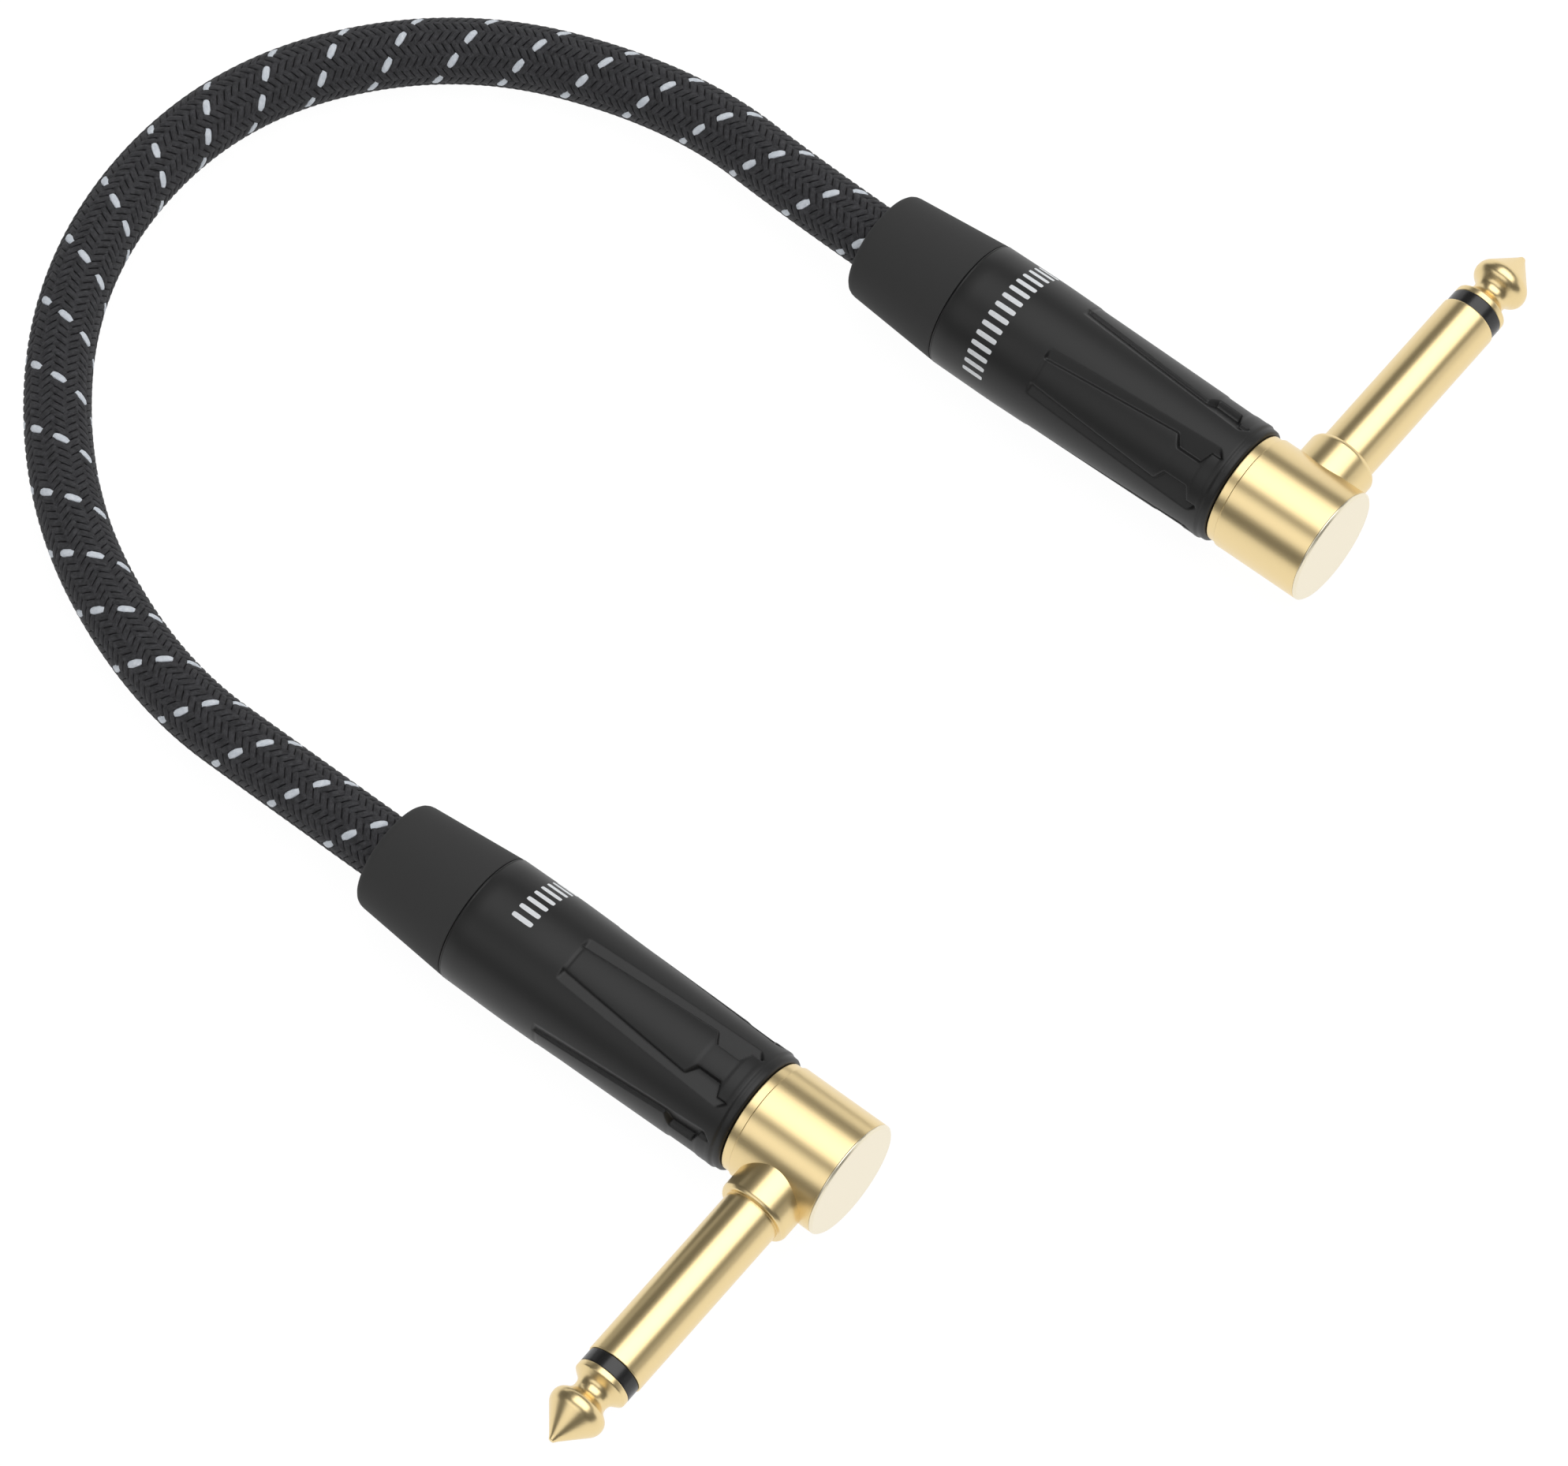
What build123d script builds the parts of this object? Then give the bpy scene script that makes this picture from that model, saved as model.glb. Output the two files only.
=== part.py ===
"""Instrument cable: two right-angle 6.35 mm mono plugs joined by a short braided coaxial cable.

Row frame, millimetres, +Z up. Both plugs lie on the table (z = 0) with their pins level. The plug
bodies run along X with the heads towards +X. Plug A's pin points along -Y and plug B's along +Y.
The origin is the centre of the two plugs' footprint.

Each plug is modelled in the plane of its pin: the body axis lies along X and the pin axis along Y,
and they cross at the plug's own origin. A plug's rotation about its body axis turns plug A over.
"""

import os
from math import cos, pi, radians, tan

from build123d import *

os.makedirs("parts", exist_ok=True)

# ---------------------------------------------------------------- driving dimensions

# Pin: the standard quarter inch mono phone plug.
SLEEVE_R = 6.35 / 2
PIN_BORE_R = 1.95
ROD_R = 1.0
COLLAR_R = 3.95
COLLAR_END = 9.0
SLEEVE_INNER_END = 5.0
SLEEVE_END = 30.35
TIP_START = 31.95
TIP_END = 40.1
TIP_FLANGE_R = 3.05
TIP_FLANGE_END = 32.55
TIP_NECK_R = 2.0
TIP_NECK_AT = 34.1
TIP_WAIST_R = 2.75
TIP_WAIST_AT = 35.3
TIP_BALL_R = 3.0
TIP_BALL_AT = 36.0
TIP_CONE_R = 2.8
TIP_CONE_START = 36.9
TIP_NOSE_R = 0.45
TIP_NOSE_AT = 39.7
TIP_POINT_R = 0.2
INSULATOR_R = 3.0
COLLAR_BEVEL = 0.25
SLEEVE_BEVEL = 0.1

# Head: the metal elbow that carries the pin.
HEAD_R = 6.45
HEAD_FRONT = 5.05
HEAD_SHOULDER = -5.0
SHOULDER_R = 6.25
SHOULDER_END = -6.05
NECK_R = 4.6
NECK_END = -13.0
HEAD_BORE_R = 5.0
NECK_BORE_R = 3.6
HEAD_FLOOR = -4.0
CAP_FRONT = 5.4
CAP_SPIGOT_BACK = 3.9
CAP_BEVEL = 0.22

# Shell: the screwed barrel behind the head.
SHELL_FRONT = -6.15
SHELL_FRONT_R = 6.83
SHELL_WIDEST_AT = -34.0
SHELL_WIDEST_R = 7.2
SHELL_BACK = -41.4
SHELL_BACK_R = 7.12
SHELL_RIM_R = 0.45
THREAD_LENGTH = 7.2
SHELL_BORE_R = 4.9
JAW_CONE_START = -31.0
JAW_CONE_END = -38.0
JAW_CONE_R = 4.3
THREAD_PITCH = 0.75
THREAD_TURNS = 6

# Grip recesses of the shell, evenly spread: flats that deepen towards the head, each with a raised pad.
RECESS_COUNT = 4
RECESS_BACK = -29.3
RECESS_FRONT = -7.6
RECESS_BACK_HALF_ANGLE = 22.3
RECESS_FRONT_HALF_ANGLE = 33.5
PAD_FRONT = -12.6
PAD_BACK_HALF_ANGLE = 12.4
PAD_FRONT_HALF_ANGLE = 23.7
PAD_DROP = 0.05
RIM_PAD_BACK = -9.0
RIM_PAD_HALF_ANGLE = 25.1
PAD_NECK_HALF_ANGLE = 12.8
PAD_NECK_DROP = 0.1

# Boot: the soft tail that guides the cable out of the shell.
BOOT_FRONT = -41.48
BOOT_FRONT_R = 7.09
BOOT_BACK = -53.3
BOOT_BACK_R = 6.01
BOOT_RIM_R = 1.2
SPIGOT_FRONT = -38.9
SPIGOT_R = 5.0
SNAP_RIB_R = 5.4
SNAP_RIB_BACK = -40.6
SNAP_RIB_FRONT = -39.6
SNAP_RIB_LEAD = 0.2
SNAP_RIB_PLAY = 0.15
BOOT_SHOULDER_SWELL = 0.13
BOOT_RIM_ARC_R = 1.3

# Chuck: the slotted collet that grips the cable inside the shell.
CHUCK_FRONT = -13.1
CHUCK_BACK = -37.8
CHUCK_NOSE_R = 4.3
CHUCK_NOSE_BACK = -18.5
CHUCK_JAWS = 6
CHUCK_SLOT = 1.0
CHUCK_SLOT_FRONT = -20.0
CHUCK_SLOT_REACH = 4.0

# Cable, from the outside in. Every layer is a tube of its own.
CABLE_R = 3.55
BRAID_BORE_R = 3.2
JACKET_R = 3.15
JACKET_BORE_R = 2.3
SHIELD_R = 2.25
SHIELD_BORE_R = 1.85
DIELECTRIC_R = 1.8
DIELECTRIC_BORE_R = 0.6
CONDUCTOR_R = 0.55
BRAID_END = -22.0
JACKET_STRIP_END = -19.0
SHIELD_STRIP_END = -16.0
DIELECTRIC_STRIP_END = -7.0
CONDUCTOR_END = -3.2

# Terminals inside the head.
ROD_END = 0.65
ROD_TUBE_START = 3.2
LUG_END = -4.6
LUG_HALF_WIDTH = 1.3
LUG_EYE_R = 1.8
LUG_THICKNESS = 0.5
TAG_BACK = -11.5
TAG_DROP = 2.6
TAG_LEG = 4.65
TAG_HALF_WIDTH = 1.5
PIGTAIL_DROP = 2.15
PIGTAIL_R = 0.3
PIGTAIL_END = -9.0
PIGTAIL_ROOT = 0.5
SOLDER_BACK = -4.7
SOLDER_FRONT = -2.5
SOLDER_DEPTH = 1.0
SOLDER_HALF_WIDTH = 1.0
SHIELD_SOLDER_BACK = -10.1
SHIELD_SOLDER_FRONT = -8.1
SHIELD_SOLDER_WIDTH = 1.8
SHIELD_SOLDER_HEIGHT = 0.6
SOLDER_ROUND = 0.4
CUP_BACK = -3.4
CUP_FRONT = 3.85
CUP_BORE_R = 4.4
CUP_FLOOR = 3.3

# Small clearances, and how far a cutter runs past the face that it opens.
SEAT = 0.03
RUNNING = 0.07
LOOSE = 0.3
OVERRUN = 1.0

# The lie of the two plugs and of the cable between them.
AXIS_HEIGHT = SHELL_WIDEST_R
PLUG_A_AT = (27.1, -43.5, AXIS_HEIGHT)
PLUG_B_AT = (20.8, 43.5, AXIS_HEIGHT)
PLUG_A_SHELL_TURN = -4.5
PLUG_B_SHELL_TURN = -42.0
ROUTE = [
    (-17.0, -43.5, 7.2),
    (-38.0, -43.5, 7.2),
    (-59.0, -42.5, 4.85),
    (-82.0, -31.5, 3.6),
    (-98.5, -10.0, 3.6),
    (-100.0, 16.5, 3.6),
    (-85.0, 37.5, 3.6),
    (-61.0, 46.0, 4.85),
    (-40.0, 43.5, 7.2),
    (-23.0, 43.5, 7.2),
]
ARC_SHARE = 0.45

# ---------------------------------------------------------------- helpers


def shell_radius(x: float) -> float:
    """Outer radius at x of the shell's plain cone, in front of its widest place."""
    share = (x - SHELL_WIDEST_AT) / (SHELL_FRONT - SHELL_WIDEST_AT)
    return SHELL_WIDEST_R + share * (SHELL_FRONT_R - SHELL_WIDEST_R)


def round_bar(radius: float, start: float, end: float, bore: float = 0.0) -> Part:
    """A bar or tube along the body axis from x = start to x = end."""
    with BuildPart() as bar:
        with BuildSketch(Plane.YZ.offset(min(start, end))):
            Circle(radius)
            if bore:
                Circle(bore, mode=Mode.SUBTRACT)
        extrude(amount=abs(end - start))
    return bar.part


def pin_bar(radius: float, start: float, end: float, bore: float = 0.0) -> Part:
    """A bar or tube along the pin axis from y = start to y = end."""
    with BuildPart() as bar:
        with BuildSketch(Plane.XZ.offset(-start)):
            Circle(radius)
            if bore:
                Circle(bore, mode=Mode.SUBTRACT)
        extrude(amount=-(end - start))
    return bar.part


def wedge(x_back: float, x_front: float, half_back: float, half_front: float, reach: float) -> Part:
    """A wedge seen from the body axis along +Z, as wide as the given half angles at its two ends."""
    with BuildPart() as part:
        for x, half in ((x_back, half_back), (x_front, half_front)):
            side = reach * tan(radians(half))
            with BuildSketch(Plane.YZ.offset(x)):
                Polygon((0, 0), (side, reach), (-side, reach), align=None)
        loft(ruled=True)
    return part.part


def cone_bar(x_back: float, x_front: float, drop: float) -> Part:
    """A solid cone that stays the given drop under the shell's outer cone."""
    with BuildPart() as part:
        with BuildSketch(Plane.XY):
            Polygon(
                (x_back, 0),
                (x_front, 0),
                (x_front, shell_radius(x_front) - drop),
                (x_back, shell_radius(x_back) - drop),
                align=None,
            )
        revolve(axis=Axis.X)
    return part.part


def grip_cutter() -> Part:
    """The material that one grip recess takes off the shell, centred on the +Z side."""
    back_flat = shell_radius(RECESS_BACK) * cos(radians(RECESS_BACK_HALF_ANGLE))
    front_flat = shell_radius(RECESS_FRONT) * cos(radians(RECESS_FRONT_HALF_ANGLE))
    over = SHELL_WIDEST_R + OVERRUN
    with BuildPart() as cutter:
        with BuildSketch(Plane.XZ):
            Polygon(
                (RECESS_BACK, back_flat),
                (RECESS_FRONT, front_flat),
                (RECESS_FRONT, over),
                (RECESS_BACK, over),
                align=None,
            )
        extrude(amount=over, both=True)
        pads = (
            (RECESS_BACK, PAD_FRONT, PAD_BACK_HALF_ANGLE, PAD_FRONT_HALF_ANGLE, PAD_DROP),
            (PAD_FRONT, RIM_PAD_BACK, PAD_NECK_HALF_ANGLE, PAD_NECK_HALF_ANGLE, PAD_NECK_DROP),
            (RIM_PAD_BACK, RECESS_FRONT, RIM_PAD_HALF_ANGLE, RIM_PAD_HALF_ANGLE, PAD_DROP),
        )
        for back, front, half_back, half_front, drop in pads:
            pad = wedge(back, front, half_back, half_front, over) & cone_bar(back, front, drop)
            add(pad, mode=Mode.SUBTRACT)
    return cutter.part


def layer_path(layer_end: float) -> Wire:
    """The cable's route, with both ends run on straight into the plugs to x = layer_end.

    Each corner is rounded with a radius that uses the same share of the shorter of its two sides.
    """
    points = [Vector(*point) for point in ROUTE]
    radii = []
    for before, here, after in zip(points, points[1:], points[2:]):
        turn = (here - before).get_angle(after - here)
        run = min((here - before).length, (after - here).length)
        radii.append(ARC_SHARE * run / tan(radians(turn / 2)))
    points[0] = Vector(PLUG_A_AT[0] + layer_end, PLUG_A_AT[1], PLUG_A_AT[2])
    points[-1] = Vector(PLUG_B_AT[0] + layer_end, PLUG_B_AT[1], PLUG_B_AT[2])
    with BuildLine() as line:
        FilletPolyline(*points, radius=radii)
    return line.wires()[0]


def layer(radius: float, bore: float, layer_end: float) -> Part:
    """One layer of the cable, a tube or a core along the whole route."""
    path = layer_path(layer_end)
    start = Plane(origin=path @ 0, z_dir=path % 0)
    with BuildPart() as tube:
        with BuildLine():
            add(path)
        with BuildSketch(start):
            Circle(radius)
            if bore:
                Circle(bore, mode=Mode.SUBTRACT)
        sweep()
    return tube.part


# ---------------------------------------------------------------- the pieces of one plug


def make_tip() -> Part:
    """Tip contact, turned in one piece with the rod that runs back through the sleeve."""
    with BuildPart() as tip:
        with BuildSketch(Plane.XY):
            with BuildLine():
                Polyline(
                    (0, ROD_END),
                    (ROD_R, ROD_END),
                    (ROD_R, TIP_START),
                    (TIP_FLANGE_R, TIP_START),
                    (TIP_FLANGE_R, TIP_FLANGE_END),
                )
                ThreePointArc(
                    (TIP_FLANGE_R, TIP_FLANGE_END),
                    (TIP_NECK_R, TIP_NECK_AT),
                    (TIP_WAIST_R, TIP_WAIST_AT),
                )
                ThreePointArc(
                    (TIP_WAIST_R, TIP_WAIST_AT),
                    (TIP_BALL_R, TIP_BALL_AT),
                    (TIP_CONE_R, TIP_CONE_START),
                )
                Polyline(
                    (TIP_CONE_R, TIP_CONE_START),
                    (TIP_NOSE_R, TIP_NOSE_AT),
                    (TIP_POINT_R, TIP_END),
                    (0, TIP_END),
                    (0, ROD_END),
                )
            make_face()
        revolve(axis=Axis.Y)
    return tip.part


def make_sleeve() -> Part:
    """Ground sleeve of the pin, with the collar that is pressed into the head."""
    with BuildPart() as sleeve:
        add(pin_bar(COLLAR_R, SLEEVE_INNER_END, COLLAR_END))
        chamfer(sleeve.edges().group_by(Axis.Y)[-1], COLLAR_BEVEL)
        add(pin_bar(SLEEVE_R, SLEEVE_INNER_END, SLEEVE_END))
        chamfer(sleeve.edges().group_by(Axis.Y)[-1], SLEEVE_BEVEL)
        add(pin_bar(PIN_BORE_R, SLEEVE_INNER_END - OVERRUN, SLEEVE_END + OVERRUN), mode=Mode.SUBTRACT)
    return sleeve.part


def make_head() -> Part:
    """Gold-plated elbow: a hollow turned body with a threaded neck and a side hole for the pin."""
    with BuildPart() as head:
        with BuildSketch(Plane.XY):
            Polygon(
                (NECK_END, NECK_BORE_R),
                (NECK_END, NECK_R),
                (SHOULDER_END, NECK_R),
                (SHOULDER_END, SHOULDER_R),
                (HEAD_SHOULDER, SHOULDER_R),
                (HEAD_SHOULDER, HEAD_R),
                (HEAD_FRONT, HEAD_R),
                (HEAD_FRONT, HEAD_BORE_R),
                (HEAD_FLOOR, HEAD_BORE_R),
                (HEAD_FLOOR, NECK_BORE_R),
                align=None,
            )
        revolve(axis=Axis.X)
        add(pin_bar(COLLAR_R + SEAT, OVERRUN, COLLAR_END), mode=Mode.SUBTRACT)
    return head.part


def make_end_cap() -> Part:
    """Disc with a spigot that is pressed into the head after the terminals are soldered."""
    with BuildPart() as cap:
        add(round_bar(HEAD_R, HEAD_FRONT + SEAT, CAP_FRONT))
        chamfer(cap.edges().group_by(Axis.X)[-1], CAP_BEVEL)
        add(round_bar(HEAD_BORE_R - SEAT, CAP_SPIGOT_BACK, CAP_FRONT - CAP_BEVEL))
    return cap.part


def make_tip_insulator() -> Part:
    """Moulded ring between the sleeve and the tip."""
    return pin_bar(INSULATOR_R, SLEEVE_END + SEAT, TIP_START - SEAT, ROD_R + SEAT)


def make_rod_insulator() -> Part:
    """Thin tube that keeps the tip's rod clear of the sleeve."""
    return pin_bar(PIN_BORE_R - SEAT, ROD_TUBE_START, SLEEVE_END, ROD_R + SEAT)


def make_tip_terminal() -> Part:
    """Solder lug riveted on the inner end of the tip's rod."""
    with BuildPart() as lug:
        with BuildSketch(Plane.XZ.offset(-ROD_END)):
            with Locations((LUG_END / 2, 0)):
                Rectangle(-LUG_END, 2 * LUG_HALF_WIDTH)
            Circle(LUG_EYE_R)
            Circle(ROD_R + SEAT, mode=Mode.SUBTRACT)
        extrude(amount=-LUG_THICKNESS)
    return lug.part


def make_ground_terminal() -> Part:
    """Bent tag that takes the cable's shield to the head."""
    top = -TAG_DROP
    bottom = -(TAG_DROP + LUG_THICKNESS)
    with BuildPart() as tag:
        with BuildSketch(Plane.XZ):
            Polygon(
                (TAG_BACK, top),
                (HEAD_FLOOR + SEAT + LUG_THICKNESS, top),
                (HEAD_FLOOR + SEAT + LUG_THICKNESS, -TAG_LEG),
                (HEAD_FLOOR + SEAT, -TAG_LEG),
                (HEAD_FLOOR + SEAT, bottom),
                (TAG_BACK, bottom),
                align=None,
            )
        extrude(amount=TAG_HALF_WIDTH, both=True)
    return tag.part


def make_inner_insulator() -> Part:
    """Plastic cup that keeps the tip terminal off the wall and the cap of the head."""
    with BuildPart() as cup:
        add(round_bar(HEAD_BORE_R - SEAT, CUP_BACK, CUP_FRONT))
        add(round_bar(CUP_BORE_R, CUP_BACK - OVERRUN, CUP_FLOOR), mode=Mode.SUBTRACT)
        add(pin_bar(PIN_BORE_R + SEAT, 0, HEAD_R), mode=Mode.SUBTRACT)
    return cup.part


def make_solder_joints() -> Part:
    """The two solder joints: conductor to tip terminal, shield to ground terminal."""
    solder_top = ROD_END - SEAT
    conductor_bore = round_bar(CONDUCTOR_R + SEAT, DIELECTRIC_STRIP_END, CONDUCTOR_END + SEAT)
    pigtail = round_bar(PIGTAIL_R + SEAT, SHIELD_SOLDER_BACK - OVERRUN, PIGTAIL_END + SEAT)
    pigtail_bore = Pos(0, 0, -PIGTAIL_DROP) * pigtail
    with BuildPart() as solder:
        with BuildSketch(Plane.XY):
            with Locations(((SOLDER_BACK + SOLDER_FRONT) / 2, (solder_top - SOLDER_DEPTH) / 2)):
                RectangleRounded(SOLDER_FRONT - SOLDER_BACK, solder_top + SOLDER_DEPTH, SOLDER_ROUND)
        extrude(amount=SOLDER_HALF_WIDTH, both=True)
        add(conductor_bore, mode=Mode.SUBTRACT)
        with BuildSketch(Plane.XY.offset(SEAT - TAG_DROP)):
            with Locations(((SHIELD_SOLDER_BACK + SHIELD_SOLDER_FRONT) / 2, 0)):
                RectangleRounded(SHIELD_SOLDER_FRONT - SHIELD_SOLDER_BACK, SHIELD_SOLDER_WIDTH, SOLDER_ROUND)
        extrude(amount=SHIELD_SOLDER_HEIGHT)
        add(pigtail_bore, mode=Mode.SUBTRACT)
    return solder.part


def make_chuck() -> Part:
    """Slotted collet: the shell's inner cone closes its jaws on the braid."""
    body_r = SHELL_BORE_R - LOOSE
    with BuildPart() as chuck:
        with BuildSketch(Plane.XY):
            Polygon(
                (CHUCK_BACK, CABLE_R + SEAT),
                (CHUCK_BACK, JAW_CONE_R - LOOSE),
                (JAW_CONE_START, body_r),
                (CHUCK_NOSE_BACK, body_r),
                (CHUCK_NOSE_BACK, CHUCK_NOSE_R),
                (CHUCK_FRONT, CHUCK_NOSE_R),
                (CHUCK_FRONT, CABLE_R + SEAT),
                align=None,
            )
        revolve(axis=Axis.X)
        with BuildSketch(Plane.YZ.offset(CHUCK_BACK - OVERRUN)):
            with PolarLocations((CABLE_R + body_r) / 2, CHUCK_JAWS):
                Rectangle(CHUCK_SLOT_REACH, CHUCK_SLOT)
        extrude(amount=CHUCK_SLOT_FRONT - CHUCK_BACK + OVERRUN, mode=Mode.SUBTRACT)
    return chuck.part


def make_shell(turn: float) -> Part:
    """Screwed barrel with its grip recesses, standing at the given turn about the body axis."""
    thread_end = SHELL_FRONT - THREAD_LENGTH
    with BuildPart() as shell:
        with BuildSketch(Plane.XY):
            Polygon(
                (SHELL_BACK, 0),
                (SHELL_FRONT, 0),
                (SHELL_FRONT, SHELL_FRONT_R),
                (SHELL_WIDEST_AT, SHELL_WIDEST_R),
                (SHELL_BACK, SHELL_BACK_R),
                align=None,
            )
        revolve(axis=Axis.X)
        fillet(shell.edges().group_by(Axis.X)[-1], SHELL_RIM_R)
        cutter = grip_cutter()
        for index in range(RECESS_COUNT):
            angle = turn + index * 360 / RECESS_COUNT
            add(Rot(-angle, 0, 0) * cutter, mode=Mode.SUBTRACT)
        with BuildSketch(Plane.XY):
            Polygon(
                (SHELL_FRONT, 0),
                (SHELL_FRONT, NECK_R + RUNNING),
                (thread_end, NECK_R + RUNNING),
                (thread_end, SHELL_BORE_R),
                (JAW_CONE_START, SHELL_BORE_R),
                (JAW_CONE_END, JAW_CONE_R),
                (JAW_CONE_END, SPIGOT_R + RUNNING),
                (SNAP_RIB_FRONT + SNAP_RIB_PLAY, SPIGOT_R + RUNNING),
                (SNAP_RIB_FRONT + SNAP_RIB_PLAY, SNAP_RIB_R + RUNNING),
                (SNAP_RIB_BACK - SNAP_RIB_PLAY, SNAP_RIB_R + RUNNING),
                (SNAP_RIB_BACK - SNAP_RIB_PLAY, SPIGOT_R + RUNNING),
                (SHELL_BACK, SPIGOT_R + RUNNING),
                (SHELL_BACK, 0),
                align=None,
            )
        revolve(axis=Axis.X, mode=Mode.SUBTRACT)
    return shell.part


def make_boot() -> Part:
    """Soft tail with a snap rib that lets the shell turn on it."""
    with BuildPart() as boot:
        with BuildSketch(Plane.XY):
            with BuildLine():
                rim_start = BOOT_BACK + BOOT_RIM_R
                cone_r = BOOT_BACK_R + BOOT_SHOULDER_SWELL
                Polyline(
                    (BOOT_BACK, BOOT_BACK_R - BOOT_RIM_R),
                    (BOOT_BACK, CABLE_R + LOOSE),
                    (SPIGOT_FRONT, CABLE_R + LOOSE),
                    (SPIGOT_FRONT, SPIGOT_R),
                    (SNAP_RIB_FRONT, SPIGOT_R),
                    (SNAP_RIB_FRONT - SNAP_RIB_LEAD, SNAP_RIB_R),
                    (SNAP_RIB_BACK, SNAP_RIB_R),
                    (SNAP_RIB_BACK, SPIGOT_R),
                    (BOOT_FRONT, SPIGOT_R),
                    (BOOT_FRONT, BOOT_FRONT_R),
                    (rim_start, cone_r),
                )
                RadiusArc((rim_start, cone_r), (BOOT_BACK, BOOT_BACK_R - BOOT_RIM_R), -BOOT_RIM_ARC_R)
            make_face()
        revolve(axis=Axis.X)
    return boot.part


# ---------------------------------------------------------------- the two plugs

PIECES = {
    "tip": make_tip(),
    "tip_insulator": make_tip_insulator(),
    "rod_insulator": make_rod_insulator(),
    "sleeve": make_sleeve(),
    "head": make_head(),
    "end_cap": make_end_cap(),
    "tip_terminal": make_tip_terminal(),
    "ground_terminal": make_ground_terminal(),
    "inner_insulator": make_inner_insulator(),
    "solder_joints": make_solder_joints(),
    "chuck": make_chuck(),
    "boot": make_boot(),
}
PLUGS = {
    "plug_a": (Location(PLUG_A_AT, (180, 0, 0)), PLUG_A_SHELL_TURN),
    "plug_b": (Location(PLUG_B_AT), PLUG_B_SHELL_TURN),
}


def save(piece: Part, name: str) -> None:
    """Label a finished piece and write it to its own file."""
    piece.label = name
    export_step(piece, f"parts/{name}.step")


for plug, (place, shell_turn) in PLUGS.items():
    for node, piece in PIECES.items():
        save(piece.moved(place), f"{plug}_{node}")
    save(make_shell(shell_turn).moved(place), f"{plug}_shell")

# ---------------------------------------------------------------- the cable


def make_shield() -> Part:
    """Copper shield, with a twisted tail at each end that reaches the ground terminal."""
    with BuildPart() as shield:
        add(layer(SHIELD_R, SHIELD_BORE_R, SHIELD_STRIP_END))
        tail = Pos(0, 0, -PIGTAIL_DROP) * round_bar(PIGTAIL_R, SHIELD_STRIP_END - PIGTAIL_ROOT, PIGTAIL_END)
        for place, _ in PLUGS.values():
            add(tail.moved(place))
    return shield.part


save(layer(CABLE_R, BRAID_BORE_R, BRAID_END), "cable_braid")
save(layer(JACKET_R, JACKET_BORE_R, JACKET_STRIP_END), "cable_jacket")
save(make_shield(), "cable_shield")
save(layer(DIELECTRIC_R, DIELECTRIC_BORE_R, DIELECTRIC_STRIP_END), "cable_dielectric")
save(layer(CONDUCTOR_R, 0, CONDUCTOR_END), "cable_conductor")

travel = THREAD_PITCH * THREAD_TURNS
print(f"shell unscrews {THREAD_TURNS} turns and {travel} mm; {2 * pi / THREAD_PITCH:.5f} radians per mm")
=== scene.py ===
"""Instrument cable: two right-angle quarter inch plugs and the braided cable between them.

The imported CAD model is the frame. Every piece here is worked out in the plug's own millimetres (x along
the body axis towards the head's end, y along the pin, both from the point where the two axes cross) and
placed in the row frame, in metres, from the corners of the CAD nodes.
"""

import logging
from collections.abc import Sequence
from dataclasses import dataclass, field
from enum import Enum

import bpy
import numpy as np
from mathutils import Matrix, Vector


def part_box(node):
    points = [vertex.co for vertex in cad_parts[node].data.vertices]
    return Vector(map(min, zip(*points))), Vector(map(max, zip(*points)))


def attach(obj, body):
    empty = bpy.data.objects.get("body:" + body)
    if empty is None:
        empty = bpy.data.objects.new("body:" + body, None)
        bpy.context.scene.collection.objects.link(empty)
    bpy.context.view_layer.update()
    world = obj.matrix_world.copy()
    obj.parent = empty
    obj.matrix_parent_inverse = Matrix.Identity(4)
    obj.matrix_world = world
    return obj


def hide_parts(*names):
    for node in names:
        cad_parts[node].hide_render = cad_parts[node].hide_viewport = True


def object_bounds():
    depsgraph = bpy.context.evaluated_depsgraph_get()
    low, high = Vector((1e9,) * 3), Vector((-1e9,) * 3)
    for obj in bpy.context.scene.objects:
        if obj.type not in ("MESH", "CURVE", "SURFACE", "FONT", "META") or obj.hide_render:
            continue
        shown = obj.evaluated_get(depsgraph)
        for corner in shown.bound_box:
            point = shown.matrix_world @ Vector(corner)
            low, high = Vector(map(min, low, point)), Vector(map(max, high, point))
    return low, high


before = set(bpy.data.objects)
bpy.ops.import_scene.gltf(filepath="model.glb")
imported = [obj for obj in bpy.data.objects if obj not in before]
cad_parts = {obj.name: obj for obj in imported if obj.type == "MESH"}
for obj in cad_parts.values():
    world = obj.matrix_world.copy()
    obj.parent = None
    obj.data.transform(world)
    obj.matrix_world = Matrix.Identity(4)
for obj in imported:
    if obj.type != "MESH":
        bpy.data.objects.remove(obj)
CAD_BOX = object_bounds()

LOG = logging.getLogger("instrument_cable")
MM = 0.001
GRID = 0.00005  # the CAD's places are whole twentieths of a millimetre
HAIR = 0.02  # millimetres between two seated pieces
CORE = 0.1  # radius in millimetres of the flat face that closes a solid piece on its axis


# ------------------------------------------------------------------ shader maths


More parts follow.
